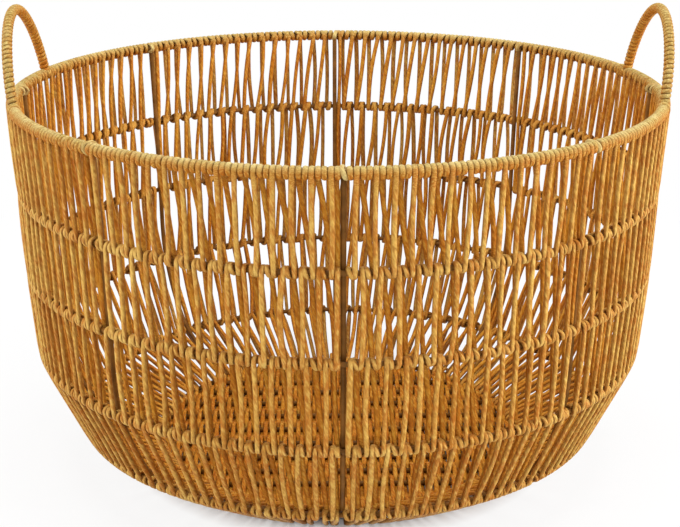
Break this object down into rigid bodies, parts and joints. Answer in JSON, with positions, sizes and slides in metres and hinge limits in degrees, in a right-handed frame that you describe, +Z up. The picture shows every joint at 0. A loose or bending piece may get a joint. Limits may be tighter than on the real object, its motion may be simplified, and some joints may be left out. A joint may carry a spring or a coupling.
{
  "type": "storage basket",
  "caption": "Round open-top storage basket: a painted steel wire frame wound with twisted paper cord, sides tapering to a flat floor, fixed loop handles on the rim.",
  "frame": {"origin": "on the ground, under the middle of the floor", "axes": "+Z up through the open top, +X through the right-hand handle, +Y to the back"},
  "size_m": [0.3986, 0.3986, 0.2869],
  "materials": {
    "painted_wire": "brown satin paint",
    "wound_cord": "twisted paper cord, honey brown, waxed",
    "bound_cord": "twisted paper cord, pale gold, waxed"
  },
  "bodies": {
    "root": {"rim_ring": "painted_wire", "upper_hoop": "painted_wire", "middle_hoop": "painted_wire", "lower_hoop": "painted_wire", "foot_hoop": "painted_wire", "base_grid": "painted_wire", "floor_mat": "wound_cord", "rib_right": "painted_wire", "rib_back_right": "painted_wire", "rib_back": "painted_wire", "rib_back_left": "painted_wire", "rib_left": "painted_wire", "rib_front_left": "painted_wire", "rib_front": "painted_wire", "rib_front_right": "painted_wire", "top_winding_1": "wound_cord", "top_winding_2": "wound_cord", "top_winding_3": "wound_cord", "top_winding_4": "wound_cord", "top_winding_5": "wound_cord", "top_winding_6": "wound_cord", "top_winding_7": "wound_cord", "top_winding_8": "wound_cord", "upper_winding_1": "wound_cord", "upper_winding_2": "wound_cord", "upper_winding_3": "wound_cord", "upper_winding_4": "wound_cord", "upper_winding_5": "wound_cord", "upper_winding_6": "wound_cord", "upper_winding_7": "wound_cord", "upper_winding_8": "wound_cord", "middle_winding_1": "wound_cord", "middle_winding_2": "wound_cord", "middle_winding_3": "wound_cord", "middle_winding_4": "wound_cord", "middle_winding_5": "wound_cord", "middle_winding_6": "wound_cord", "middle_winding_7": "wound_cord", "middle_winding_8": "wound_cord", "lower_winding_1": "wound_cord", "lower_winding_2": "wound_cord", "lower_winding_3": "wound_cord", "lower_winding_4": "wound_cord", "lower_winding_5": "wound_cord", "lower_winding_6": "wound_cord", "lower_winding_7": "wound_cord", "lower_winding_8": "wound_cord", "foot_winding_1": "wound_cord", "foot_winding_2": "wound_cord", "foot_winding_3": "wound_cord", "foot_winding_4": "wound_cord", "foot_winding_5": "wound_cord", "foot_winding_6": "wound_cord", "foot_winding_7": "wound_cord", "foot_winding_8": "wound_cord", "handle_rod_right": "painted_wire", "handle_rod_left": "painted_wire", "handle_binding_right": "bound_cord", "handle_binding_left": "bound_cord"}
  },
  "joints": []
}
